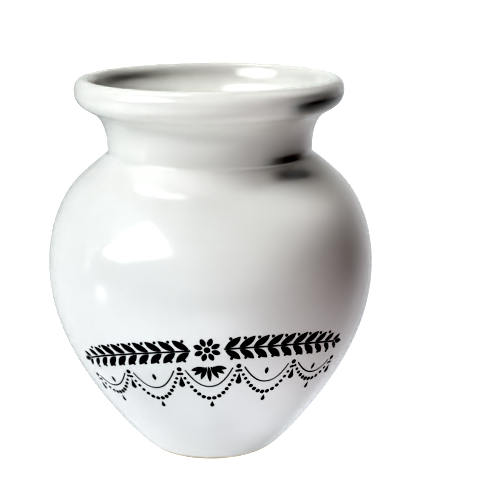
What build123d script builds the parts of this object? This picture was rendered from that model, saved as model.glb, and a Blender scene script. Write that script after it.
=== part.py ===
from build123d import *
import os
from math import sin, cos, pi, radians, degrees, atan, hypot

# Artist's water pot for rinsing brushes: one thrown-and-turned ceramic pot,
# open at the top, with a rolled flared rim, a short neck, a full belly and a
# small turned foot.  Millimetres, +Z up, axis of the pot on Z, foot on z = 0.

# ---------------------------------------------------------------- dimensions
HEIGHT = 90.0            # foot to the crest of the rim
BELLY_R = 39.06          # widest radius, at z = 45
RIM_R = 31.70            # widest radius of the rolled rim
NECK_R = 24.28           # narrowest outside radius of the neck
THROAT_R = 20.79         # narrowest inside radius, the mouth a brush goes through
GLAZE_T = 0.30           # thickness of the white glaze coat
FOOT_R_OUT = 16.0        # outside radius of the bare ring the pot stands on
FOOT_R_IN = 13.7         # inside radius of that ring
RECESS_Z = 1.75          # height of the underside at the axis
RECESS_EDGE_Z = 1.50     # height of the underside where it meets the ring
BASE_GLAZE_R = 12.0      # radius of the pool of glaze under the foot
BASE_GLAZE_T = 0.25      # its thickness
INK_T = 0.05             # how far the fired black decoration stands proud
DECOR_R = 36.5           # radius on which the decoration is laid out flat
DECOR_TILT = 3.6         # degrees, the transfer sits a little crooked
DECOR_PIVOT_Z = 34.0
DECOR_DROP = 5.4         # how far the ends of the garland arch down, at s = 33

# Glazed surface of the wall in section, (radius, height): from the glaze line
# above the foot, up the outside, over the rim, down the inside to the floor.
WALL = [
    (17.45, 0.93), (19.71, 3.39), (21.92, 6.01), (24.10, 8.79), (26.20, 11.63),
    (28.22, 14.54), (30.11, 17.48), (31.84, 20.39), (33.39, 23.27), (34.78, 26.17),
    (35.97, 29.04), (36.98, 31.90), (37.79, 34.77), (38.41, 37.64), (38.83, 40.54),
    (39.05, 43.42), (39.06, 46.26), (38.86, 49.10), (38.46, 51.86), (37.84, 54.59),
    (37.02, 57.19), (35.99, 59.65), (34.79, 61.90), (33.37, 64.00), (31.80, 65.84),
    (30.04, 67.50), (28.18, 69.08), (26.39, 70.54), (25.03, 71.60), (24.595, 71.933),
    (24.458, 72.068), (24.35, 72.26), (24.30, 72.53), (24.30, 73.08), (24.33, 74.28),
    (24.53, 76.65), (25.05, 78.69), (25.81, 80.33), (26.91, 81.62),
    (28.51, 82.71), (30.16, 83.75), (31.11, 84.86), (31.61, 86.23), (31.64, 87.71),
    (31.20, 88.97), (30.37, 89.77), (29.36, 90.00), (28.44, 89.64), (27.83, 88.67),
    (27.43, 87.04), (26.73, 85.59), (25.38, 84.09), (23.64, 82.28), (22.48, 80.60),
    (21.65, 78.72), (21.07, 76.57), (20.79, 74.37), (20.91, 72.55), (21.42, 70.99),
    (22.42, 69.50), (23.89, 68.08), (26.17, 66.38), (28.24, 64.74), (29.84, 63.12),
    (31.24, 61.23), (32.45, 59.12), (33.48, 56.77), (34.31, 54.25), (34.94, 51.57),
    (35.33, 48.84), (35.52, 46.01), (35.51, 43.16), (35.29, 40.25), (34.87, 37.38),
    (34.25, 34.55), (33.43, 31.74), (32.42, 29.01), (31.20, 26.25), (29.78, 23.51),
    (28.16, 20.73), (26.40, 18.01), (24.54, 15.41), (22.64, 13.04), (20.76, 10.98),
    (18.88, 9.26), (16.98, 7.89), (14.96, 6.83), (12.89, 6.10), (10.57, 5.63),
    (7.89, 5.38), (4.28, 5.27), (0.00, 5.24),
]

os.makedirs("parts", exist_ok=True)


def P(r, z):
    """A point of the half section, in the XZ plane."""
    return Vector(r, 0.0, z)


def revolved(edges):
    """Solid of revolution about Z of the closed half section."""
    return revolve(Face(Wire(edges)), Axis.Z, 360)


# ------------------------------------------------------------- wall surfaces
# One smooth curve through the stations gives the direction of the wall at each
# of them.  The glazed surface and the clay surface one glaze thickness inside
# it are then both built in the same stretches, tangent to each other.
CUTS = [0, 6, 14, 20, 25, 28, 34, 39, 46, 50, 56, 62, 68, 74, 80, 86, len(WALL) - 1]
DECOR_SPAN = 1           # the stretch that carries the decoration

start_t = Vector(WALL[1][0] - WALL[0][0], 0, WALL[1][1] - WALL[0][1]).normalized()
guide = Edge.make_spline([P(r, z) for r, z in WALL], tangents=[start_t, Vector(-1, 0, 0)])
wall_t = [guide.tangent_at(guide.param_at_point(P(r, z))) for r, z in WALL]
wall_t[0], wall_t[-1] = start_t, Vector(-1, 0, 0)


def stretches(inset):
    """The wall curve moved into the clay by inset, as a chain of edges."""
    pts = [P(r - inset * t.Z, z + inset * t.X) for (r, z), t in zip(WALL, wall_t)]
    pts[-1] = P(0.0, WALL[-1][1] - inset)
    return [Edge.make_spline(pts[a:b + 1], tangents=[wall_t[a], wall_t[b]])
            for a, b in zip(CUTS, CUTS[1:])]


skin = stretches(0.0)
clay = stretches(GLAZE_T)
clay_start, clay_end = clay[0].position_at(0), clay[-1].position_at(1)

# ------------------------------------------------------------------ pot body
under_disc = Edge.make_spline([P(0, RECESS_Z), P(6.5, 1.70), P(BASE_GLAZE_R, RECESS_EDGE_Z)],
                              tangents=[Vector(1, 0, 0), Vector(1, 0, -0.10)])
under_ring = Edge.make_spline([P(BASE_GLAZE_R, RECESS_EDGE_Z), P(13.05, 0.93), P(FOOT_R_IN, 0.0)],
                              tangents=[Vector(1, 0, -0.10), Vector(0.35, 0, -1)])
foot_flat = Edge.make_line(P(FOOT_R_IN, 0.0), P(FOOT_R_OUT, 0.0))
foot_round = Edge.make_spline([P(FOOT_R_OUT, 0.0), clay_start],
                              tangents=[Vector(1, 0, 0), start_t])
axis_line = Edge.make_line(clay_end, P(0, RECESS_Z))
pot_body = revolved([under_disc, under_ring, foot_flat, foot_round] + clay + [axis_line])

# ------------------------------------------------------------ white glaze coat
glaze_lip = Edge.make_line(clay_start, P(*WALL[0]))
glaze_axis = Edge.make_line(P(*WALL[-1]), clay_end)
glaze_coat = revolved([glaze_lip] + skin + [glaze_axis] + clay)

# ----------------------------------------------------- glaze under the foot
disc_edge = P(BASE_GLAZE_R - 0.35, RECESS_EDGE_Z + 0.03 - BASE_GLAZE_T)
disc_low = Edge.make_spline([P(0, RECESS_Z - BASE_GLAZE_T), P(6.4, 1.70 - BASE_GLAZE_T), disc_edge],
                            tangents=[Vector(1, 0, 0), Vector(1, 0, -0.10)])
disc_rim = Edge.make_spline([disc_edge, P(BASE_GLAZE_R, RECESS_EDGE_Z)],
                            tangents=[Vector(1, 0, -0.10), Vector(0.1, 0, 1)])
disc_axis = Edge.make_line(P(0, RECESS_Z), P(0, RECESS_Z - BASE_GLAZE_T))
base_glaze = revolved([under_disc, disc_rim, disc_low, disc_axis])

# ------------------------------------------------------- fired black transfer
# A garland of paired leaves with a rosette in the middle, a palmette under the
# rosette, and strings of beads hanging in swags.  Every motif is laid out on
# the flat, s along the wall and z up it, on a line that arches down towards its
# two ends, and is then wrapped onto the wall.
decor_wall = skin[DECOR_SPAN]
table = [decor_wall.position_at(k / 240) for k in range(241)]


def wall_r(z):
    for a, b in zip(table, table[1:]):
        if a.Z <= z <= b.Z:
            return a.X + (b.X - a.X) * (z - a.Z) / (b.Z - a.Z)
    raise ValueError("height %.2f is outside the decorated zone" % z)


def arch(s):
    """Height of the arched layout line over its middle."""
    return -DECOR_DROP * (s / 33.0) ** 2


def lean(s):
    """Slope of that line, in degrees."""
    return degrees(atan(-2 * DECOR_DROP * s / 33.0 ** 2))


def turn(s, z):
    """Flat layout point after the small tilt of the whole transfer."""
    a = radians(DECOR_TILT)
    ds, dz = s, z - DECOR_PIVOT_Z
    return ds * cos(a) - dz * sin(a), ds * sin(a) + dz * cos(a) + DECOR_PIVOT_Z


def wrap(s, z):
    """Flat layout point to its place, seen square on, on the front of the wall."""
    s, z = turn(s, z)
    return P(wall_r(z) * sin(s / DECOR_R), z)


def facing(s, z):
    """Plane through the axis height that faces the wall at (s, z), and the
    scale of the layout at that height."""
    s, z = turn(s, z)
    phi = s / DECOR_R
    plane = Plane(origin=(0, 0, z), x_dir=(cos(phi), sin(phi), 0), z_dir=(sin(phi), -cos(phi), 0))
    return plane, wall_r(z) / DECOR_R


def leaf(s, z, length, width, ang, bend=0.0):
    """Pointed leaf of two arcs from its root at (s, z), along ang degrees."""
    a = radians(ang)
    plane, q = facing(s + 0.5 * length * cos(a), z + 0.5 * length * sin(a))
    a += radians(DECOR_TILT)
    def at(t, w):
        return plane.from_local_coords((q * (t * cos(a) - w * sin(a)), q * (t * sin(a) + w * cos(a)), 0))
    root, tip = at(-0.5 * length, 0), at(0.5 * length, 0)
    return plane, [Edge.make_three_point_arc(root, at(0, bend + 0.5 * width), tip),
                   Edge.make_three_point_arc(tip, at(0, bend - 0.5 * width), root)]


def dot(s, z, d):
    """Round dot."""
    plane, q = facing(s, z)
    return plane, [Edge.make_circle(0.5 * d * q, plane)]


def drop(s, z, length, width):
    """Hanging drop, its point at the top (s, z), its foot round."""
    plane, q = facing(s, z - 0.5 * length)
    rad = 0.5 * width
    low = -0.5 * length + rad
    def at(x, y):
        return plane.from_local_coords((q * x, q * y, 0))
    tip = at(0, 0.5 * length)
    return plane, [Edge.make_line(tip, at(rad * 0.96, low + rad * 0.28)),
                   Edge.make_three_point_arc(at(rad * 0.96, low + rad * 0.28), at(0, low - rad),
                                             at(-rad * 0.96, low + rad * 0.28)),
                   Edge.make_line(at(-rad * 0.96, low + rad * 0.28), tip)]


def ribbon(path, width):
    """Thin line of even width along path points (s, z)."""
    up, low = [], []
    for i, (s, z) in enumerate(path):
        a = path[max(i - 1, 0)]
        b = path[min(i + 1, len(path) - 1)]
        d = hypot(b[0] - a[0], b[1] - a[1])
        nx, nz = -(b[1] - a[1]) / d, (b[0] - a[0]) / d
        up.append(wrap(s + nx * width / 2, z + nz * width / 2))
        low.append(wrap(s - nx * width / 2, z - nz * width / 2))
    return None, [Edge.make_spline(up), Edge.make_line(up[-1], low[-1]),
                  Edge.make_spline(low), Edge.make_line(low[0], up[0])]


BAND_Z = 35.7            # centre line of the garland
LEAF_L, LEAF_W = 4.0, 1.5
LEAF_STEP = 3.0
LEAF_ANG = 36.0
LEAF_START = 3.75        # where the first pair of leaves springs from
PAIRS = 10
SWAG_HOOKS = [-32.5, -19.5, -6.5, 6.5, 19.5, 32.5]
SWAG_TOP = 31.2
SWAG_DEPTH = 8.6         # of the middle swag
SWAG_LESS = 3.2          # how much less deep the outer swags are
BEAD_STEP = 1.36         # from bead to bead along a string

motifs = []
# rosette
motifs.append(dot(0, BAND_Z, 1.35))
for k in range(8):
    a = 22.5 + 45.0 * k
    motifs.append(leaf(0.98 * cos(radians(a)), BAND_Z + 0.98 * sin(radians(a)), 1.95, 1.12, a))
# two branches
for side in (1, -1):
    for k in range(PAIRS):
        size = 1.0 if k < PAIRS - 3 else 1.0 - 0.13 * (k - PAIRS + 4)
        s0 = side * (LEAF_START + LEAF_STEP * k)
        for up in (1, -1):
            ang = up * LEAF_ANG
            if side < 0:
                ang = 180.0 - ang
            motifs.append(leaf(s0, BAND_Z + arch(s0) + up * 0.38, LEAF_L * size, LEAF_W * size,
                               ang + lean(s0 + side * 1.6), bend=-0.16 * up * side))
        if k < PAIRS - 1:
            for up in (1, -1):
                sd = s0 + side * 1.25
                motifs.append(dot(sd, BAND_Z + arch(sd) + up * 2.45, 0.66))
    s_end = LEAF_START + LEAF_STEP * (PAIRS - 1) + 0.5
    stem = [side * (LEAF_START - 0.25 + (s_end - LEAF_START + 0.25) * j / 12) for j in range(13)]
    motifs.append(ribbon([(s, BAND_Z + arch(s)) for s in stem], 0.36))
    tip = side * (s_end + 0.3)
    motifs.append(leaf(tip, BAND_Z + arch(tip), 2.7, 1.1, (0.0 if side > 0 else 180.0) + lean(tip)))
# palmette
for k in range(-3, 4):
    motifs.append(leaf(0.42 * k, SWAG_TOP + 0.35 - 0.07 * abs(k), 4.2 - 0.5 * abs(k), 0.95, -90.0 + 25.0 * k))
# swags of beads, a fine line inside each, and drops
for a, b in zip(SWAG_HOOKS, SWAG_HOOKS[1:]):
    mid, half = 0.5 * (a + b), 0.5 * (b - a)
    deep = SWAG_DEPTH - SWAG_LESS * (mid / 26.0) ** 2
    def sag(s, depth, top, reach):
        return top + arch(s) - depth * (1.0 - abs((s - mid) / reach) ** 2.2)
    # beads spaced along the string
    fine = [mid - half + 2 * half * j / 400 for j in range(401)]
    fine = [(s, sag(s, deep, SWAG_TOP, half)) for s in fine]
    run = [0.0]
    for p, q in zip(fine, fine[1:]):
        run.append(run[-1] + hypot(q[0] - p[0], q[1] - p[1]))
    beads = round(run[-1] / BEAD_STEP)
    for j in range(1, beads):
        t = j / beads
        k = min(range(401), key=lambda m: abs(run[m] - run[-1] * t))
        motifs.append(dot(fine[k][0], fine[k][1], 0.56 + 0.50 * sin(pi * t) ** 1.5))
    inner = [mid + 0.8 * half * (-1 + j / 7) for j in range(15)]
    motifs.append(ribbon([(s, sag(s, 0.56 * deep, SWAG_TOP - 0.35, 0.8 * half)) for s in inner], 0.26))
    motifs.append(drop(mid, SWAG_TOP + arch(mid) - deep - 0.75, 1.9, 1.0))
    if mid != 0:
        motifs.append(leaf(mid, SWAG_TOP + arch(mid) - 0.9, 1.7, 0.8, -90 + lean(mid)))
for s in SWAG_HOOKS:
    top = SWAG_TOP + arch(s)
    less = 1.0 - 0.25 * (s / 32.5) ** 2
    motifs.append(dot(s, top, 1.05))
    motifs.append(dot(s, top - 1.2, 0.62))
    motifs.append(drop(s, top - 1.8, 3.1 * less, 1.3))

ink_pts = []
for k in range(9):
    p, t = decor_wall.position_at(k / 8), decor_wall.tangent_at(k / 8)
    ink_pts.append(P(p.X + INK_T * t.Z, p.Z - INK_T * t.X))
ink_top = Edge.make_spline(ink_pts, tangents=[decor_wall.tangent_at(0), decor_wall.tangent_at(1)])
ink_band = revolved([decor_wall, Edge.make_line(decor_wall.position_at(1), ink_pts[-1]),
                     ink_top, Edge.make_line(ink_pts[0], decor_wall.position_at(0))])

pieces = []
for plane, edges in motifs:
    reach = Vector(0, -60, 0) if plane is None else plane.z_dir * 60
    prism = Solid.extrude(Face(Wire(edges)), reach)
    cut = ink_band & prism
    pieces.extend(cut.solids())
transfer_print = Compound(children=pieces)

# --------------------------------------------------------------------- write
NODES = {
    "pot_body": pot_body,
    "glaze_coat": glaze_coat,
    "base_glaze": base_glaze,
    "transfer_print": transfer_print,
}
for name, shape in NODES.items():
    shape.label = name
    export_step(shape, os.path.join("parts", name + ".step"), write_pcurves=False)

box = glaze_coat.bounding_box()
print("motifs", len(motifs), "ink solids", len(pieces))
print("size  %.2f x %.2f x %.2f" % (box.size.X, box.size.Y, box.max.Z))
print("clay volume %.1f cm3, glaze %.2f cm3" % (pot_body.volume / 1000, glaze_coat.volume / 1000))
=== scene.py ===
import math
import bpy
import numpy as np
from mathutils import Matrix, Vector


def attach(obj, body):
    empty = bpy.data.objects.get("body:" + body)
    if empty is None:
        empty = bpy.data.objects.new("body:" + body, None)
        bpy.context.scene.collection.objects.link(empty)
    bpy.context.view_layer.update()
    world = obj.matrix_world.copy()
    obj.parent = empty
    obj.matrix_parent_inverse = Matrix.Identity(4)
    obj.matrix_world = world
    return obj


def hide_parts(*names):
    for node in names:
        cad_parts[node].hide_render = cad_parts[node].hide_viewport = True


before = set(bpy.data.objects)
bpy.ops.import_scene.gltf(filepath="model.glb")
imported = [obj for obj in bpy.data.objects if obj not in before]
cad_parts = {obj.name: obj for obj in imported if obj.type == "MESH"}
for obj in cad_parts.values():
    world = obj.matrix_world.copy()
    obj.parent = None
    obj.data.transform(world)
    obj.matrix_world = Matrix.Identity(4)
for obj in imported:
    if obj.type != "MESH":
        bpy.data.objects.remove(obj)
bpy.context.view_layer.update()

MM = 0.001
scene = bpy.context.scene

# ------------------------------------------------------------------ the form
# Glazed surface of the wall in section, millimetres: from the glaze line above
# the foot, up the outside, over the rim, down the inside to the floor.
WALL = np.array([
    (17.45, 0.93), (19.71, 3.39), (21.92, 6.01), (24.10, 8.79), (26.20, 11.63),
    (28.22, 14.54), (30.11, 17.48), (31.84, 20.39), (33.39, 23.27), (34.78, 26.17),
    (35.97, 29.04), (36.98, 31.90), (37.79, 34.77), (38.41, 37.64), (38.83, 40.54),
    (39.05, 43.42), (39.06, 46.26), (38.86, 49.10), (38.46, 51.86), (37.84, 54.59),
    (37.02, 57.19), (35.99, 59.65), (34.79, 61.90), (33.37, 64.00), (31.80, 65.84),
    (30.04, 67.50), (28.18, 69.08), (26.39, 70.54), (25.03, 71.60), (24.595, 71.933),
    (24.458, 72.068), (24.35, 72.26), (24.30, 72.53), (24.30, 73.08), (24.33, 74.28),
    (24.53, 76.65), (25.05, 78.69), (25.81, 80.33), (26.91, 81.62),
    (28.51, 82.71), (30.16, 83.75), (31.11, 84.86), (31.61, 86.23), (31.64, 87.71),
    (31.20, 88.97), (30.37, 89.77), (29.36, 90.00), (28.44, 89.64), (27.83, 88.67),
    (27.43, 87.04), (26.73, 85.59), (25.38, 84.09), (23.64, 82.28), (22.48, 80.60),
    (21.65, 78.72), (21.07, 76.57), (20.79, 74.37), (20.91, 72.55), (21.42, 70.99),
    (22.42, 69.50), (23.89, 68.08), (26.17, 66.38), (28.24, 64.74), (29.84, 63.12),
    (31.24, 61.23), (32.45, 59.12), (33.48, 56.77), (34.31, 54.25), (34.94, 51.57),
    (35.33, 48.84), (35.52, 46.01), (35.51, 43.16), (35.29, 40.25), (34.87, 37.38),
    (34.25, 34.55), (33.43, 31.74), (32.42, 29.01), (31.20, 26.25), (29.78, 23.51),
    (28.16, 20.73), (26.40, 18.01), (24.54, 15.41), (22.64, 13.04), (20.76, 10.98),
    (18.88, 9.26), (16.98, 7.89), (14.96, 6.83), (12.89, 6.10), (10.57, 5.63),
    (7.89, 5.38), (4.28, 5.27), (0.00, 5.24)])
GLAZE_T = 0.30
RECESS_Z, RECESS_EDGE_Z = 1.75, 1.50
BASE_GLAZE_R, BASE_GLAZE_T = 12.0, 0.25


def smooth_curve(pts, t0, t1):
    """Clamped C2 cubic spline through pts, by chord length: returns f(u) and its length."""
    pts = np.asarray(pts, float)
    d = np.r_[0, np.cumsum(np.hypot(*np.diff(pts, axis=0).T))]
    h = np.diff(d)
    n = len(pts)
    a = np.zeros((n, n))
    b = np.zeros((n, 2))
    a[0, 0] = a[-1, -1] = 1.0
    b[0], b[-1] = t0, t1
    for i in range(1, n - 1):
        a[i, i - 1] = h[i]
        a[i, i] = 2 * (h[i - 1] + h[i])
        a[i, i + 1] = h[i - 1]
        b[i] = 3 * (h[i] * (pts[i] - pts[i - 1]) / h[i - 1] + h[i - 1] * (pts[i + 1] - pts[i]) / h[i])
    m = np.linalg.solve(a, b)

    def f(u):
        u = np.clip(np.asarray(u, float), 0, d[-1])
        i = np.clip(np.searchsorted(d, u, side="right") - 1, 0, n - 2)
        t = ((u - d[i]) / h[i])[..., None]
        hh = h[i][..., None]
        p = ((2 * t**3 - 3 * t**2 + 1) * pts[i] + (t**3 - 2 * t**2 + t) * hh * m[i]
             + (-2 * t**3 + 3 * t**2) * pts[i + 1] + (t**3 - t**2) * hh * m[i + 1])
        g = ((6 * t**2 - 6 * t) * pts[i] / hh + (3 * t**2 - 4 * t + 1) * m[i]
             + (-6 * t**2 + 6 * t) * pts[i + 1] / hh + (3 * t**2 - 2 * t) * m[i + 1])
        return p, g / np.linalg.norm(g, axis=-1, keepdims=True)
    return f, d[-1], d


t_first = (WALL[1] - WALL[0]) / np.linalg.norm(WALL[1] - WALL[0])
wall, WALL_LEN, WALL_D = smooth_curve(WALL, t_first, (-1.0, 0.0))


def adaptive(f, length, count, gain=2.4):
    """Stations along a curve, closer together where it bends."""
    u = np.linspace(0, length, 6000)
    p, t = f(u)
    bend = np.linalg.norm(np.gradient(t, u, axis=0), axis=1)
    bend = np.convolve(np.pad(bend, 60, mode="edge"), np.ones(121) / 121, "valid")
    dens = 0.12 + gain * np.sqrt(bend) * 0.25 + bend * 0.5
    c = np.cumsum(dens)
    c = (c - c[0]) / (c[-1] - c[0])
    return np.interp(np.linspace(0, 1, count), c, u)


def grow(phi, z):
    """Small unevenness of a cast and hand-finished wall, in millimetres, outwards."""
    return (0.050 * np.sin(2 * phi + 0.7) * np.clip(z / 90, 0, 1)
            + 0.022 * np.sin(3 * phi - 1.1 + z * 0.045)
            + 0.012 * np.sin(5 * phi + 2.0 - z * 0.11)
            + 0.010 * np.sin(z * 0.93 + 0.6 * np.sin(phi)))


def rim_lift(phi, z):
    """The rim isn't quite level."""
    return np.where(z > 60, 0.045 * ((z - 60) / 30) ** 2 * (np.sin(phi * 2 + 2.1) + 0.5 * np.sin(phi * 3) - 1.4), 0.0)


SEG = 288


def ring_mesh(name, rows, close_first=False, close_last=False, loop=False):
    """Mesh of revolution from rows of (radius, height); rows with radius 0 become one vertex.
    The unevenness of the wall is added to every row, so that all layers stay together."""
    phi = np.linspace(0, 2 * math.pi, SEG, endpoint=False)
    verts, ids = [], []
    for r, z in rows:
        if r < 1e-6:
            ids.append([len(verts)])
            verts.append((0.0, 0.0, z * MM))
            continue
        fade = min(1.0, z / 6.0) * min(1.0, r / 12.0) if z > 0 else 0.0
        rr = r + grow(phi, z) * fade
        zz = z + rim_lift(phi, z)
        start = len(verts)
        verts.extend(zip(rr * np.sin(phi) * MM, -rr * np.cos(phi) * MM, zz * MM))
        ids.append(list(range(start, start + SEG)))
    faces = []
    pairs = list(zip(ids, ids[1:])) + ([(ids[-1], ids[0])] if loop else [])
    for a, b in pairs:
        if len(a) == 1 and len(b) == 1:
            continue
        for k in range(SEG):
            j = (k + 1) % SEG
            if len(a) == 1:
                faces.append((a[0], b[j], b[k]))
            elif len(b) == 1:
                faces.append((a[k], a[j], b[0]))
            else:
                faces.append((a[k], a[j], b[j], b[k]))
    mesh = bpy.data.meshes.new(name)
    mesh.from_pydata([tuple(map(float, v)) for v in verts], [], faces)
    mesh.validate()
    mesh.shade_smooth()
    obj = bpy.data.objects.new(name, mesh)
    scene.collection.objects.link(obj)
    return obj


# --------------------------------------------------------------- glaze coat
LIP = 0.55                       # length over which the glaze thins to its edge
u_skin = adaptive(wall, WALL_LEN, 300)
u_skin = np.r_[np.linspace(0, LIP, 7)[:-1], u_skin[u_skin > LIP * 1.15]]
u_skin[-1] = WALL_LEN
p, t = wall(u_skin)
inward = np.stack([-t[:, 1], t[:, 0]], 1)       # towards the clay
thick = GLAZE_T * np.sqrt(np.clip(1 - (1 - np.clip(u_skin / LIP, 0, 1)) ** 2, 0, 1))
skin_rows = p + inward * (GLAZE_T - thick)[:, None]
skin_rows[-1] = (0.0, WALL[-1][1])
u_back = adaptive(wall, WALL_LEN, 90)[::-1]
pb, tb = wall(u_back)
back_rows = pb + np.stack([-tb[:, 1], tb[:, 0]], 1) * GLAZE_T
back_rows[0] = (0.0, WALL[-1][1] - GLAZE_T)
rows = list(map(tuple, skin_rows)) + list(map(tuple, back_rows[:-1]))
glaze_coat = ring_mesh("glaze_coat_shell", rows, loop=True)

# -------------------------------------------------- pool of glaze under foot
under, UNDER_LEN, _ = smooth_curve([(0, RECESS_Z), (6.5, 1.70), (BASE_GLAZE_R, RECESS_EDGE_Z)],
                                   (1, 0), (0.995, -0.0995))
uu = np.linspace(0, UNDER_LEN, 40)
top = under(uu)[0]
edge = np.clip((UNDER_LEN - uu) / 0.7, 0, 1)
pool = BASE_GLAZE_T * np.sqrt(np.clip(1 - (1 - edge) ** 2, 0, 1))
low = top - np.stack([np.zeros_like(pool), pool], 1)
rows = [tuple(q) for q in low] + [tuple(q) for q in top[::-1][1:]]
base_glaze = ring_mesh("base_glaze_pool", rows)

# ----------------------------------------------------- black fired transfer
# A garland of paired leaves with a rosette, a palmette below it and strings of
# beads in swags: laid out on the flat (s along the wall, z up it, millimetres)
# on a line that arches down towards its ends, then wrapped onto the glazed wall
# as thin closed films of ink.
DECOR_R, DECOR_TILT, DECOR_PIVOT_Z, INK_T = 36.5, math.radians(3.6), 34.0, 0.05
DECOR_DROP = 5.4
_u = np.linspace(0, 60, 1200)
_p, _t = wall(_u)
_up = _p[:, 1] < 43.5
_u, _pz = _u[_up], _p[_up, 1]


def on_wall(phi, z, off):
    """Point of the glazed outside wall at azimuth phi and height z, moved outwards by off mm."""
    u = np.interp(z, _pz, _u)
    q, tt = wall(u)
    r = q[..., 0] + off * tt[..., 1] + grow(phi, z) * np.minimum(1.0, z / 6.0)
    zz = q[..., 1] - off * tt[..., 0]
    return np.stack([r * np.sin(phi), -r * np.cos(phi), zz], -1) * MM


def wall_radius(z):
    return wall(np.interp(z, _pz, _u))[0][..., 0]


def arch(s):
    return -DECOR_DROP * (s / 33.0) ** 2


def lean(s):
    return math.degrees(math.atan(-2 * DECOR_DROP * s / 33.0 ** 2))


def turn(s, z):
    ds, dz = s, z - DECOR_PIVOT_Z
    return (ds * math.cos(DECOR_TILT) - dz * math.sin(DECOR_TILT),
            ds * math.sin(DECOR_TILT) + dz * math.cos(DECOR_TILT) + DECOR_PIVOT_Z)


def facing(s, z):
    s, z = turn(s, z)
    return s / DECOR_R, z, float(wall_radius(z)) / DECOR_R


def as_local(s, z, pts):
    """Points (x, y) of a motif about its middle (s, z), as azimuth and height."""
    phi, zc, q = facing(s, z)
    pts = np.asarray(pts, float) * q
    zz = zc + pts[..., 1]
    return phi + np.arcsin(pts[..., 0] / wall_radius(zz)), zz


def arc_rows(length, up, low, n):
    """Rows across a leaf bounded by two arcs of sagitta up and low over its chord."""
    def arc(x, sag):
        if abs(sag) < 1e-6:
            return 0 * x
        rad = (length * length / 4 + sag * sag) / (2 * abs(sag))
        return np.sign(sag) * (np.sqrt(np.maximum(rad * rad - x * x, 0)) - (rad - abs(sag)))
    x = -0.5 * length * np.cos(np.linspace(0, math.pi, n))
    return np.stack([x, arc(x, up)], 1), np.stack([x, arc(x, low)], 1)


FILMS = []


def leaf(s, z, length, width, ang, bend=0.0):
    a = math.radians(ang)
    sc, zc = s + 0.5 * length * math.cos(a), z + 0.5 * length * math.sin(a)
    a += DECOR_TILT
    up, low = arc_rows(length, bend + 0.5 * width, bend - 0.5 * width, 17)
    rot = np.array([[math.cos(a), math.sin(a)], [-math.sin(a), math.cos(a)]])
    FILMS.append((as_local(sc, zc, up @ rot), as_local(sc, zc, low @ rot)))


def dot(s, z, d):
    a = np.linspace(0, math.pi, 17)
    up = np.stack([-np.cos(a), np.sin(a)], 1) * d / 2
    FILMS.append((as_local(s, z, up), as_local(s, z, up * [1, -1])))


def drop(s, z, length, width):
    rad = 0.5 * width
    low = -0.5 * length + rad
    a0 = math.atan2(0.28, 0.96)
    a = np.linspace(a0, -math.pi / 2, 13)
    k = np.hypot(0.96, 0.28)
    right = np.r_[[(0, 0.5 * length)],
                  [(rad * 0.96 * f, 0.5 * length + (low + rad * 0.28 - 0.5 * length) * f) for f in (0.25, 0.5, 0.75)],
                  np.stack([rad * k * np.cos(a), low + rad * k * np.sin(a)], 1)]
    FILMS.append((as_local(s, z - 0.5 * length, right), as_local(s, z - 0.5 * length, right * [-1, 1])))


def ribbon(path, width):
    path = np.array(path, float)
    d = np.gradient(path, axis=0)
    d /= np.linalg.norm(d, axis=1, keepdims=True)
    nrm = np.stack([-d[:, 1], d[:, 0]], 1) * width / 2
    sides = []
    for side in (path + nrm, path - nrm):
        s, z = turn(side[:, 0], side[:, 1])
        sides.append((s / DECOR_R, z))
    FILMS.append(tuple(sides))


BAND_Z = 35.7
LEAF_L, LEAF_W, LEAF_STEP, LEAF_ANG, LEAF_START, PAIRS = 4.0, 1.5, 3.0, 36.0, 3.75, 10
HOOKS = [-32.5, -19.5, -6.5, 6.5, 19.5, 32.5]
SWAG_TOP, SWAG_DEPTH, SWAG_LESS, BEAD_STEP = 31.2, 8.6, 3.2, 1.36

dot(0, BAND_Z, 1.35)
for k in range(8):
    a = 22.5 + 45.0 * k
    leaf(0.98 * math.cos(math.radians(a)), BAND_Z + 0.98 * math.sin(math.radians(a)), 1.95, 1.12, a)
for side in (1, -1):
    for k in range(PAIRS):
        size = 1.0 if k < PAIRS - 3 else 1.0 - 0.13 * (k - PAIRS + 4)
        s0 = side * (LEAF_START + LEAF_STEP * k)
        for up in (1, -1):
            ang = up * LEAF_ANG if side > 0 else 180.0 - up * LEAF_ANG
            leaf(s0, BAND_Z + arch(s0) + up * 0.38, LEAF_L * size, LEAF_W * size,
                 ang + lean(s0 + side * 1.6), bend=-0.16 * up * side)
        if k < PAIRS - 1:
            for up in (1, -1):
                sd = s0 + side * 1.25
                dot(sd, BAND_Z + arch(sd) + up * 2.45, 0.66)
    s_end = LEAF_START + LEAF_STEP * (PAIRS - 1) + 0.5
    stem = [side * (LEAF_START - 0.25 + (s_end - LEAF_START + 0.25) * j / 48) for j in range(49)]
    ribbon([(s, BAND_Z + arch(s)) for s in stem], 0.36)
    tip = side * (s_end + 0.3)
    leaf(tip, BAND_Z + arch(tip), 2.7, 1.1, (0.0 if side > 0 else 180.0) + lean(tip))
for k in range(-3, 4):
    leaf(0.42 * k, SWAG_TOP + 0.35 - 0.07 * abs(k), 4.2 - 0.5 * abs(k), 0.95, -90.0 + 25.0 * k)
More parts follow.
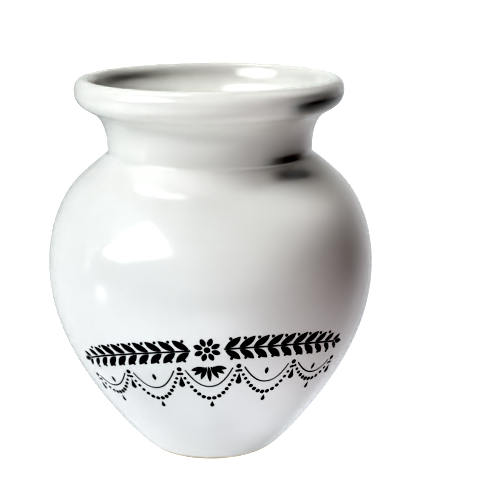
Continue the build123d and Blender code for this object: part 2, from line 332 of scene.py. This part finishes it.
for a, b in zip(HOOKS, HOOKS[1:]):
    mid, half = 0.5 * (a + b), 0.5 * (b - a)
    deep = SWAG_DEPTH - SWAG_LESS * (mid / 26.0) ** 2
    fs = np.linspace(mid - half, mid + half, 401)
    fz = SWAG_TOP + arch(fs) - deep * (1.0 - np.abs((fs - mid) / half) ** 2.2)
    run = np.r_[0, np.cumsum(np.hypot(np.diff(fs), np.diff(fz)))]
    beads = round(run[-1] / BEAD_STEP)
    for j in range(1, beads):
        k = int(np.argmin(np.abs(run - run[-1] * j / beads)))
        dot(fs[k], fz[k], 0.56 + 0.50 * math.sin(math.pi * j / beads) ** 1.5)
    ins = np.linspace(mid - 0.8 * half, mid + 0.8 * half, 57)
    ribbon(np.stack([ins, SWAG_TOP - 0.35 + arch(ins) - 0.56 * deep * (1 - np.abs((ins - mid) / (0.8 * half)) ** 2.2)], 1), 0.26)
    drop(mid, SWAG_TOP + arch(mid) - deep - 0.75, 1.9, 1.0)
    if mid != 0:
        leaf(mid, SWAG_TOP + arch(mid) - 0.9, 1.7, 0.8, -90 + lean(mid))
for s in HOOKS:
    top_z = SWAG_TOP + arch(s)
    dot(s, top_z, 1.05)
    dot(s, top_z - 1.2, 0.62)
    drop(s, top_z - 1.8, 3.1 * (1.0 - 0.25 * (s / 32.5) ** 2), 1.3)


def film_mesh(name, films, across=4, under=0.02):
    """Closed thin films: each is a strip of rows between two edge lines, on the wall."""
    verts, faces = [], []
    for (pa, za), (pb, zb) in films:
        w = np.linspace(0, 1, across + 1)[None, :]
        phi = pa[:, None] * (1 - w) + pb[:, None] * w
        z = za[:, None] * (1 - w) + zb[:, None] * w
        m = len(pa)
        closed = [abs(pa[i] - pb[i]) * 36 + abs(za[i] - zb[i]) < 1e-4 for i in range(m)]
        base = len(verts)
        # the film is thinner towards its edge, so it has a soft shoulder
        off = np.full_like(phi, INK_T)
        off[:, 0] = off[:, -1] = INK_T * 0.55
        top = on_wall(phi, z, off)
        bot = on_wall(phi, z, -under)
        idx = {}
        for lay, grid in enumerate((top, bot)):
            for i in range(m):
                for j in range(across + 1):
                    if closed[i] and j > 0:
                        idx[lay, i, j] = idx[lay, i, 0]
                        continue
                    idx[lay, i, j] = len(verts)
                    verts.append(tuple(map(float, grid[i, j])))

        def face(q):
            out = []
            for v in q:
                if v not in out:
                    out.append(v)
            if len(out) > 2:
                faces.append(out)
        for i in range(m - 1):
            for j in range(across):
                face([idx[0, i, j], idx[0, i + 1, j], idx[0, i + 1, j + 1], idx[0, i, j + 1]])
                face([idx[1, i, j + 1], idx[1, i + 1, j + 1], idx[1, i + 1, j], idx[1, i, j]])
            face([idx[1, i, 0], idx[1, i + 1, 0], idx[0, i + 1, 0], idx[0, i, 0]])
            face([idx[0, i, across], idx[0, i + 1, across], idx[1, i + 1, across], idx[1, i, across]])
        for i, flip in ((0, False), (m - 1, True)):
            if closed[i]:
                continue
            for j in range(across):
                q = [idx[0, i, j], idx[0, i, j + 1], idx[1, i, j + 1], idx[1, i, j]]
                face(q[::-1] if flip else q)
    mesh = bpy.data.meshes.new(name)
    mesh.from_pydata(verts, [], faces)
    mesh.validate()
    import bmesh
    bm = bmesh.new()
    bm.from_mesh(mesh)
    bmesh.ops.recalc_face_normals(bm, faces=bm.faces)
    open_edges = [e for e in bm.edges if len(e.link_faces) != 2]
    if open_edges:
        print("open edges in", name, len(open_edges))
    bm.to_mesh(mesh)
    bm.free()
    mesh.shade_smooth()
    obj = bpy.data.objects.new(name, mesh)
    scene.collection.objects.link(obj)
    return obj


transfer = film_mesh("transfer_garland", FILMS)


# ---------------------------------------------------------------- materials
class Nodes:
    """Short way to write a node tree."""

    def __init__(self, name):
        self.mat = bpy.data.materials.new(name)
        self.mat.use_nodes = True
        self.tree = self.mat.node_tree
        self.tree.nodes.clear()
        self.out = self.add("ShaderNodeOutputMaterial")
        self.bsdf = self.add("ShaderNodeBsdfPrincipled")
        self.link(self.bsdf.outputs["BSDF"], self.out.inputs["Surface"])
        self.coord = self.add("ShaderNodeTexCoord").outputs["Object"]

    def add(self, kind, **props):
        n = self.tree.nodes.new(kind)
        for k, v in props.items():
            setattr(n, k, v)
        return n

    def link(self, a, b):
        self.tree.links.new(a, b)

    def scaled(self, scale=(1, 1, 1), offset=(0, 0, 0), vector=None):
        m = self.add("ShaderNodeMapping")
        m.inputs["Scale"].default_value = scale
        m.inputs["Location"].default_value = offset
        self.link(vector or self.coord, m.inputs["Vector"])
        return m.outputs["Vector"]

    def noise(self, scale, detail=3.0, rough=0.5, distortion=0.0, vector=None):
        n = self.add("ShaderNodeTexNoise")
        n.inputs["Scale"].default_value = scale
        n.inputs["Detail"].default_value = detail
        n.inputs["Roughness"].default_value = rough
        n.inputs["Distortion"].default_value = distortion
        self.link(vector or self.coord, n.inputs["Vector"])
        return n.outputs["Fac"]

    def voronoi(self, scale, feature="F1", vector=None, out="Distance"):
        n = self.add("ShaderNodeTexVoronoi", feature=feature)
        n.inputs["Scale"].default_value = scale
        self.link(vector or self.coord, n.inputs["Vector"])
        return n.outputs[out]

    def ramp(self, fac, stops, interpolation="LINEAR"):
        n = self.add("ShaderNodeValToRGB")
        n.color_ramp.interpolation = interpolation
        el = n.color_ramp.elements
        while len(el) < len(stops):
            el.new(0.5)
        for e, (pos, col) in zip(el, stops):
            e.position = pos
            e.color = (col, col, col, 1) if isinstance(col, (int, float)) else (*col, 1)
        self.link(fac, n.inputs["Fac"])
        return n.outputs["Color"]

    def math(self, op, a, b=None, c=None, clamp=False):
        n = self.add("ShaderNodeMath", operation=op, use_clamp=clamp)
        for i, v in enumerate((a, b, c)):
            if v is None:
                continue
            if isinstance(v, (int, float)):
                n.inputs[i].default_value = v
            else:
                self.link(v, n.inputs[i])
        return n.outputs[0]

    def mix(self, fac, a, b, blend="MIX"):
        n = self.add("ShaderNodeMix", data_type="RGBA", blend_type=blend)
        for sock, v in ((n.inputs[0], fac), (n.inputs[6], a), (n.inputs[7], b)):
            if isinstance(v, (int, float)):
                sock.default_value = v
            elif isinstance(v, tuple):
                sock.default_value = (*v, 1)
            else:
                self.link(v, sock)
        return n.outputs[2]

    def height(self):
        n = self.add("ShaderNodeSeparateXYZ")
        self.link(self.coord, n.inputs[0])
        return n.outputs["X"], n.outputs["Y"], n.outputs["Z"]

    def bump(self, height, distance, strength=1.0, normal=None):
        n = self.add("ShaderNodeBump")
        n.inputs["Strength"].default_value = strength
        n.inputs["Distance"].default_value = distance
        self.link(height, n.inputs["Height"])
        if normal is not None:
            self.link(normal, n.inputs["Normal"])
        return n.outputs["Normal"]


def glaze_material(name, base=(0.80, 0.80, 0.795)):
    m = Nodes(name)
    x, y, z = m.height()
    # slow change of shade where the glaze is thicker or thinner
    cloud = m.noise(38.0, 4.0, 0.55)
    shade = m.ramp(cloud, [(0.30, (base[0] * 0.965, base[1] * 0.965, base[2] * 0.955)), (0.70, base)])
    # colour by height, a little bluer low down and warmer and greyer over the neck and the rim: partly the glaze
    # running thin over the rim and the neck, partly painted light, a painted cool tint of the table's light low down
    # and painted shade on the neck under the lip
    up = m.ramp(m.math("MULTIPLY", z, 1 / 0.09), [(0.0, (0.985, 0.995, 1.0)), (0.45, (1.0, 1.0, 1.0)),
                                                   (0.85, (1.0, 0.995, 0.975)), (1.0, (0.99, 0.98, 0.955))])
    shade = m.mix(1.0, shade, up, "MULTIPLY")
    # iron specks in the body showing through, few and small
    spots = m.voronoi(190.0, out="Distance")
    pick = m.noise(61.0, 2.0, 0.5)
    speck = m.math("MULTIPLY", m.math("LESS_THAN", spots, 0.055), m.math("GREATER_THAN", pick, 0.675))
    shade = m.mix(m.math("MULTIPLY", speck, 0.55), shade, (0.33, 0.29, 0.24))
    m.link(shade, m.bsdf.inputs["Base Color"])
    # gloss: nearly even, slightly duller in patches
    dull = m.noise(90.0, 5.0, 0.6)
    rough = m.ramp(dull, [(0.35, 0.075), (0.75, 0.135)])
    m.link(rough, m.bsdf.inputs["Roughness"])
    m.bsdf.inputs["IOR"].default_value = 1.52
    # surface: slow orange peel, faint turning marks, pin holes
    peel = m.noise(260.0, 2.0, 0.5)
    slow = m.noise(70.0, 2.0, 0.45)
    rings = m.noise(150.0, 1.0, 0.4, vector=m.scaled((0.05, 0.05, 2.2)))
    n = m.bump(slow, 0.00032, 0.55)
    n = m.bump(rings, 0.00008, 0.45, n)
    n = m.bump(peel, 0.00005, 0.5, n)
    pin = m.ramp(m.voronoi(310.0, out="Distance"), [(0.0, 0.0), (0.10, 1.0)])
    keep = m.ramp(m.noise(75.0, 2.0, 0.5), [(0.60, 1.0), (0.66, 0.0)])
    n = m.bump(m.math("MAXIMUM", pin, keep), 0.00006, 0.8, n)
    m.link(n, m.bsdf.inputs["Normal"])
    return m.mat


def ink_material():
    m = Nodes("fired_black_ink")
    fine = m.noise(900.0, 3.0, 0.6)
    broad = m.noise(120.0, 3.0, 0.55)
    tone = m.ramp(fine, [(0.35, (0.012, 0.012, 0.014)), (0.75, (0.040, 0.039, 0.041))])
    tone = m.mix(m.ramp(broad, [(0.55, 0.0), (0.8, 0.5)]), tone, (0.075, 0.073, 0.075))
    # tiny breaks in the film where the glaze shows through
    hole = m.math("LESS_THAN", m.voronoi(1500.0, out="Distance"), 0.13)
    few = m.math("GREATER_THAN", m.noise(400.0, 2.0, 0.5), 0.60)
    tone = m.mix(m.math("MULTIPLY", m.math("MULTIPLY", hole, few), 0.7), tone, (0.45, 0.45, 0.44))
    m.link(tone, m.bsdf.inputs["Base Color"])
    m.link(m.ramp(broad, [(0.3, 0.24), (0.7, 0.36)]), m.bsdf.inputs["Roughness"])
    m.bsdf.inputs["IOR"].default_value = 1.5
    m.link(m.bump(m.noise(1400.0, 2.0, 0.5), 0.00001, 0.6), m.bsdf.inputs["Normal"])
    return m.mat


def clay_material():
    m = Nodes("bare_fired_clay")
    grain = m.noise(1300.0, 4.0, 0.65)
    cloud = m.noise(150.0, 4.0, 0.6)
    tone = m.ramp(cloud, [(0.3, (0.62, 0.585, 0.52)), (0.7, (0.74, 0.71, 0.65))])
    tone = m.mix(m.ramp(grain, [(0.45, 0.0), (0.75, 0.35)]), tone, (0.50, 0.46, 0.39))
    # the ring picks up grey dirt where it is set down
    x, y, z = m.height()
    low = m.ramp(m.math("MULTIPLY", z, 1 / 0.0012), [(0.0, 0.5), (0.6, 0.0)])
    smear = m.ramp(m.noise(230.0, 4.0, 0.7), [(0.40, 0.0), (0.62, 1.0)])
    tone = m.mix(m.math("MULTIPLY", low, smear), tone, (0.36, 0.34, 0.31))
    m.link(tone, m.bsdf.inputs["Base Color"])
    m.link(m.ramp(grain, [(0.3, 0.72), (0.8, 0.9)]), m.bsdf.inputs["Roughness"])
    n = m.bump(grain, 0.00006, 0.7)
    n = m.bump(m.voronoi(1700.0, out="Distance"), 0.00004, 0.4, n)
    m.link(n, m.bsdf.inputs["Normal"])
    return m.mat


def put(obj, mat):
    obj.data.materials.clear()
    obj.data.materials.append(mat)


glaze = glaze_material("white_glaze")
put(glaze_coat, glaze)
put(base_glaze, glaze_material("white_glaze_pooled", (0.79, 0.79, 0.765)))
put(transfer, ink_material())
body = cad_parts["pot_body"]
put(body, clay_material())

for obj, node, slot_name in ((glaze_coat, "glaze_coat", "white_glaze"), (base_glaze, "base_glaze", "base_glaze"),
                             (transfer, "transfer_print", "black_ink")):
    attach(obj, "root")
    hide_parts(node)

# ------------------------------------------------------------------- camera
LENS, CAM_D, CAM_E = 83.88, 0.2841, 15.59
TARGET = Vector((0.0, 0.0, 0.0452))
CAM_X, CAM_PITCH, CAM_ROLL = 0.00706, 0.477, 0.25
e = math.radians(CAM_E)
cam_data = bpy.data.cameras.new("camera")
cam_data.lens, cam_data.sensor_width, cam_data.sensor_fit = LENS, 36.0, "AUTO"
cam_data.clip_start, cam_data.clip_end = 0.01, 30.0
camera = bpy.data.objects.new("camera", cam_data)
scene.collection.objects.link(camera)
camera.location = TARGET + Vector((CAM_X, -CAM_D * math.cos(e), CAM_D * math.sin(e)))
a = math.radians(CAM_E - CAM_PITCH)
look = Vector((0, math.cos(a), -math.sin(a)))
right = Vector((1, 0, 0))
upv = right.cross(look)
basis = Matrix((right, upv, -look)).transposed()
camera.matrix_world = Matrix.Translation(camera.location) @ (basis @ Matrix.Rotation(math.radians(-CAM_ROLL), 3, "Z")).to_4x4()
scene.camera = camera

# ------------------------------------------------------- stage and lighting
# A table-top studio: white all round for the eye, a big window low on the left,
# a roof light behind the left shoulder, a bright table in front, a dark doorway
# on the right.  Broad lights give the shading, separate cards give the gloss.
view = scene.view_settings
view.view_transform = "Standard"
view.look = "None"
BLACK = 0.45                     # display level that the print of the picture puts at black


def to_linear(v):
    return v / 12.92 if v <= 0.04045 else ((v + 0.055) / 1.055) ** 2.4


def contrast_curve(black):
    """Hard-contrast print: everything below the black level is black, white stays white."""
    view.use_curve_mapping = True
    mapping = view.curve_mapping
    curve = mapping.curves[3]
    for v in (0.0, 0.06, 0.15, 0.28, 0.42, 0.56, 0.70, 0.82, 0.92):
        pt = curve.points.new(to_linear(black + (1 - black) * v), to_linear(v))
        pt.handle_type = "AUTO_CLAMPED"
    curve.points[0].location = (0.0, 0.0)
    curve.points[-1].location = (1.0, 1.0)
    mapping.update()


contrast_curve(BLACK)


def direction(azimuth, elevation):
    """Unit vector towards azimuth (0 front, + to the right) and elevation, in degrees."""
    az, el = math.radians(azimuth), math.radians(elevation)
    return Vector((math.sin(az) * math.cos(el), -math.cos(az) * math.cos(el), math.sin(el)))


def rays(obj, camera=False, diffuse=False, glossy=False):
    """Which rays a light or a stage piece answers to."""
    obj.visible_camera, obj.visible_diffuse, obj.visible_glossy = camera, diffuse, glossy
    obj.visible_transmission = obj.visible_volume_scatter = obj.visible_shadow = False


def glow_material(name, colour, strength):
    mat = bpy.data.materials.new(name)
    mat.use_nodes = True
    tree = mat.node_tree
    tree.nodes.clear()
    out = tree.nodes.new("ShaderNodeOutputMaterial")
    em = tree.nodes.new("ShaderNodeEmission")
    em.inputs["Color"].default_value = (*colour, 1)
    em.inputs["Strength"].default_value = strength
    tree.links.new(em.outputs[0], out.inputs["Surface"])
    return mat


def stage_mesh(name, verts, faces, colour, strength, **seen):
    mesh = bpy.data.meshes.new(name)
    mesh.from_pydata([tuple(v) for v in verts], [], faces)
    obj = bpy.data.objects.new(name, mesh)
    scene.collection.objects.link(obj)
    put(obj, glow_material(name, colour, strength))
    rays(obj, **seen)
    return obj


def backdrop(radius=3.0, n=24):
    """Sweep all round, for the camera only: white behind the pot, pale grey towards the
    sides and the front, so that a white outline shows against it from there too."""
    verts, faces = [], []
    for i in range(n + 1):
        for j in range(2 * n):
            verts.append(Vector((0, 0, 0.045)) + radius * direction(j * 180 / n, -90 + 180 * i / n))
    for i in range(n):
        for j in range(2 * n):
            k = (j + 1) % (2 * n)
            faces.append((i * 2 * n + j, i * 2 * n + k, (i + 1) * 2 * n + k, (i + 1) * 2 * n + j))
    obj = stage_mesh("stage_backdrop", verts, faces, (1, 1, 1), 1.5, camera=True)
    nodes, links = obj.data.materials[0].node_tree.nodes, obj.data.materials[0].node_tree.links

    def node(kind, *sources, operation=None, limits=None):
        n = nodes.new("ShaderNode" + kind)
        if operation:
            n.operation = operation
        if limits:
            n.interpolation_type = "SMOOTHSTEP"
            for key, v in zip(("From Min", "From Max", "To Min", "To Max"), limits):
                n.inputs[key].default_value = v
        for i, source in enumerate(sources):
            links.new(source, n.inputs[i])
        return n

    place = node("SeparateXYZ", node("NewGeometry").outputs["Position"])
    turned = node("Math", place.outputs["X"], place.outputs["Y"], operation="ARCTAN2")
    side = node("Math", turned.outputs[0], operation="ABSOLUTE")
    behind = node("MapRange", side.outputs[0], limits=(0.30, 0.50, 1, 0))
    low = node("MapRange", place.outputs["Z"], limits=(-2.20, -1.75, 0, 1))
    high = node("MapRange", place.outputs["Z"], limits=(0.80, 1.15, 1, 0))
    band = node("Math", low.outputs[0], high.outputs[0], operation="MULTIPLY")
    part = node("Math", behind.outputs[0], band.outputs[0], operation="MULTIPLY")
    level = node("MapRange", part.outputs[0], limits=(0, 1, 0.87, 1.5))
    glow = next(q for q in nodes if q.type == "EMISSION")
    links.new(level.outputs[0], glow.inputs["Strength"])
    return obj


def card(name, outline, colour, strength, distance=0.9):
    """Bright card seen in the gloss only; its outline is given as (azimuth, elevation)."""
    mid = Vector((0, 0, 0.05))
    pts = [mid + distance * direction(*q) for q in outline]
    c = sum(pts, Vector()) / len(pts)
    return stage_mesh(name, [c] + pts, [(0, 1 + i, 1 + (i + 1) % len(pts)) for i in range(len(pts))],
                      colour, strength, glossy=True)


def table_card(name, r0, r1, a0, a1, colour, strength):
    """Part of the bright table top, from radius r0 to r1 and azimuth a0 to a1."""
    k = max(4, int((a1 - a0) / 7.5))
    verts, faces = [], []
    for i in range(k + 1):
        a = math.radians(a0 + (a1 - a0) * i / k)
        for r in (r0, r1):
            verts.append((r * math.sin(a), -r * math.cos(a), -0.0002))
    for i in range(k):
        faces.append((2 * i, 2 * i + 1, 2 * i + 3, 2 * i + 2))
    return stage_mesh(name, verts, faces, colour, strength, diffuse=True)


def soft_light(name, azimuth, elevation, distance, size, watts, colour=(1, 1, 1)):
    """Round soft light for the shading only, at azimuth and elevation as seen from the pot."""
    data = bpy.data.lights.new(name, "AREA")
    data.shape = "DISK"
    data.size = size
    data.energy = watts
    data.color = colour
    obj = bpy.data.objects.new(name, data)
    d = direction(azimuth, elevation)
    obj.location = Vector((0, 0, 0.05)) + d * distance
    obj.rotation_mode = "QUATERNION"
    obj.rotation_quaternion = d.to_track_quat("Z", "Y")
    scene.collection.objects.link(obj)
    rays(obj, diffuse=True)
    return obj


def glints(name, spots, colour, strength, distance=0.9):
    """Group of small bright diamonds seen in the gloss only."""
    verts, faces = [], []
    for az, el, w in spots:
        for a, e in ((az - w, el), (az, el - w), (az + w, el), (az, el + w)):
            verts.append(Vector((0, 0, 0.05)) + distance * direction(a, e))
        faces.append(tuple(range(len(verts) - 4, len(verts))))
    return stage_mesh(name, verts, faces, colour, strength, glossy=True)


def flag(name, low, high, a0, a1):
    """Black strip near the pot, out of the camera's sight and of the gloss, that keeps
    stray light off one side of the lip, the foot of the neck or the mouth; its edges are (radius, height)."""
    k = max(4, int((a1 - a0) / 6))
    verts, faces = [], []
    for i in range(k + 1):
        a = math.radians(a0 + (a1 - a0) * i / k)
        for radius, z in (low, high):
            verts.append((radius * math.sin(a), -radius * math.cos(a), z))
    for i in range(k):
        faces.append((2 * i, 2 * i + 1, 2 * i + 3, 2 * i + 2))
    obj = stage_mesh(name, verts, faces, (0, 0, 0), 0.0, diffuse=True)
    obj.visible_shadow = True
    return obj


def room(patches, shades):
    """The rest of the room, as it shows in the gloss: broad soft patches of light, and
    soft dark patches in front of them.  A patch is (azimuth, elevation, width, height)
    in degrees between the half-bright edges."""
    world = bpy.data.worlds.new("room")
    world.use_nodes = True
    scene.world = world
    tree = world.node_tree
    sky = tree.nodes["Background"]

    def math_node(op, a, b=None, c=None):
        n = tree.nodes.new("ShaderNodeMath")
        n.operation = op
        for i, v in enumerate((a, b, c)):
            if v is None:
                continue
            if isinstance(v, (int, float)):
                n.inputs[i].default_value = v
            else:
                tree.links.new(v, n.inputs[i])
        return n.outputs[0]

    def vec_node(op, a, b=None, out=0):
        n = tree.nodes.new("ShaderNodeVectorMath")
        n.operation = op
        for i, v in enumerate((a, b)):
            if v is None:
                continue
            if isinstance(v, tuple):
                n.inputs[i].default_value = v
            else:
                tree.links.new(v, n.inputs[i])
        return n.outputs[out]

    way = tree.nodes.new("ShaderNodeTexCoord").outputs["Generated"]
    parts = tree.nodes.new("ShaderNodeSeparateXYZ")
    tree.links.new(way, parts.inputs[0])
    height = math_node("ARCSINE", parts.outputs["Z"])
    level = vec_node("NORMALIZE", vec_node("MULTIPLY", way, (1.0, 1.0, 0.0)))

    def bell(azimuth, elevation, wide, high):
        a = math.radians(azimuth)
        k = math.log(2) / (1 - math.cos(math.radians(wide) / 2))
        across = vec_node("DOT_PRODUCT", level, (math.sin(a), -math.cos(a), 0.0), out="Value")
        off = math_node("SUBTRACT", height, math.radians(elevation))
        up = math_node("MULTIPLY", math_node("MULTIPLY", off, off),
                       -math.log(2) / (math.radians(high) / 2) ** 2)
        return math_node("EXPONENT", math_node("ADD", math_node("MULTIPLY_ADD", across, k, -k), up))

    total = None
    for azimuth, elevation, wide, high, colour in patches:
        tint = tree.nodes.new("ShaderNodeVectorMath")
        tint.operation = "SCALE"
        tint.inputs[0].default_value = colour
        tree.links.new(bell(azimuth, elevation, wide, high), tint.inputs["Scale"])
        total = tint.outputs[0] if total is None else vec_node("ADD", total, tint.outputs[0])
    for q in shades:
        lit = math_node("SUBTRACT", 1.0, math_node("MINIMUM", math_node("MULTIPLY", bell(*q), 1.26), 0.97))
        dim = tree.nodes.new("ShaderNodeVectorMath")
        dim.operation = "SCALE"
        tree.links.new(total, dim.inputs[0])
        tree.links.new(lit, dim.inputs["Scale"])
        total = dim.outputs[0]
    tree.links.new(total, sky.inputs["Color"])
    sky.inputs["Strength"].default_value = 1.0
    seen = world.cycles_visibility
    seen.camera = seen.diffuse = seen.transmission = seen.scatter = False
    seen.glossy = True


WHITE = (1.0, 1.0, 1.0)
# shading lights: azimuth, elevation, distance, size, watts, colour
SOFT = {
    "window_shade": (-72, 38, 0.9, 0.55, 6.6, (0.94, 1.0, 1.03)),
    "window_near": (-36, 38, 0.9, 0.55, 1.7, (1.15, 1.0, 0.98)),
    "ceiling_front": (0, 66, 0.9, 0.55, 1.2, WHITE),
    "ceiling_right": (120, 66, 0.9, 0.55, 2.2, (1.02, 1.0, 0.98)),
    "ceiling": (180, 88, 0.9, 0.55, 0.9, (0.85, 1.0, 0.92)),
    "back_right": (150, 8, 0.9, 0.55, 6.2, (1.06, 1.0, 1.0)),
    "back_left": (-150, 8, 0.9, 0.55, 3.0, WHITE),
    "back_high": (180, 38, 0.9, 0.55, 0.9, WHITE),
    "inside_fill": (180, 90, 0.006, 0.030, 0.005, WHITE),
}
# bright table top: inner and outer radius, from and to azimuth, colour, radiance
TABLE_TOP = {
    "table_foot": (0.0005, 0.0165, -180, 180, WHITE, 1.2),
    "table_under": (0.0165, 0.03, -180, 180, WHITE, 1.3),
    "table_near": (0.03, 0.058, -68, 23, (1.0, 1.0, 1.04), 1.35),
    "table_near_right": (0.03, 0.058, 23, 100, (0.98, 1.0, 1.03), 1.9),
    "table_left": (0.058, 0.19, -112, -68, WHITE, 3.3),
    "table_front": (0.058, 0.105, -23, 23, (0.92, 1.0, 1.03), 2.3),
    "table_front_mid": (0.105, 0.19, -23, 23, (0.96, 1.0, 0.96), 2.2),
    "table_front_right": (0.058, 0.19, 23, 68, (1.25, 1.0, 1.0), 0.95),
    "table_far": (0.4, 0.9, -23, 23, (0.93, 1.0, 1.06), 9.4),
    "table_far_right": (0.4, 0.9, 23, 68, (1.15, 1.0, 1.0), 3.6),
}
# bright shapes seen in the gloss: outline in azimuth and elevation, colour, radiance
CARDS = {
    "window_card": ([(-78, 11), (-72, 7), (-60, 8), (-51, 13), (-36, 16), (-28, 21), (-31, 28), (-43, 37),
                     (-54, 43), (-60, 42), (-63, 34), (-66, 27), (-73, 19)], (0.95, 1.0, 1.03), 6.0),
    "roof_card": ([(-115, 52), (-109, 54), (-99, 60), (-88, 65), (-75, 71), (-63, 76), (-60, 81),
                   (-90, 82), (-122, 76), (-118, 60)], WHITE, 4.0),
}
# small broken glints beside the window: azimuth, elevation, half width
GLINTS = {
    "glints_high": [(-95, 7, 0.8), (-92, 11, 1.0), (-90, 8, 0.7), (-87, 10, 0.9), (-84, 9, 1.1), (-89, 4, 0.7),
                    (-93, 3, 0.8), (-91, 0, 0.9), (-88, -2, 0.8), (-92, -4, 0.7)],
    "glints_low": [(-83, -12, 0.9), (-80, -14, 1.2), (-78, -12, 1.1), (-79, -16, 1.0), (-76, -14, 1.2),
                   (-75, -12, 0.8), (-73, -14, 0.7), (-82, -16, 0.8), (-80, -18, 0.6), (-83, -9, 0.6)],
}
# the room in the gloss: azimuth, elevation, width, height, radiance
ROOM = [
    (81, 52, 86, 49, (2.55, 2.75, 2.7)),      # wall on the right, high up
    (38, 20, 58, 44, (1.7, 1.8, 1.75)),       # wall front right
    (97, 33, 48, 37, (1.95, 1.9, 1.9)),       # wall right
    (-54, -39, 112, 27, (2.0, 2.0, 2.1)),     # table, left
    (0, -28, 50, 17, (1.3, 1.35, 1.35)),      # table, front
    (130, -16, 64, 53, (1.15, 1.2, 1.25)),    # back right
    (-148, -10, 120, 50, (0.42, 0.44, 0.44)), # back left
    (0, 2, 60, 29, (0.7, 0.75, 0.75)),        # front
    (-150, -59, 90, 50, (0.75, 0.8, 0.8)),    # table, behind
    (-41, 25, 56, 12, (1.0, 1.0, 1.0)),       # glow round the window
    (-68, -20, 60, 16, (0.85, 0.85, 0.85)),   # edge of the table
    (173, 35, 43, 49, (0.85, 0.9, 0.9)),      # back
    (-60, -72, 120, 40, (0.85, 0.85, 0.85)),  # table, close
]
SHADES = [(98, -1, 45, 27), (123, -54, 83, 22)]   # doorway, and the shadow of the pot
# black flags: (radius, height) of the low and the high edge, from and to azimuth
FLAGS = {
    "lip_flag": ((0.0350, 0.0812), (0.0355, 0.0860), 36, 80),
    "neck_flag": ((0.0266, 0.0735), (0.0287, 0.0712), 33, 57),
    "mouth_flag": ((0.0200, 0.0835), (0.0232, 0.0880), -150, -85),
}


backdrop()
for name, q in SOFT.items():
    soft_light(name, *q)
for name, q in TABLE_TOP.items():
    table_card(name, *q)
for name, q in CARDS.items():
    card(name, *q)
for name, spots in GLINTS.items():
    glints(name, spots, WHITE, 7.0)
for name, q in FLAGS.items():
    flag(name, *q)
room(ROOM, SHADES)
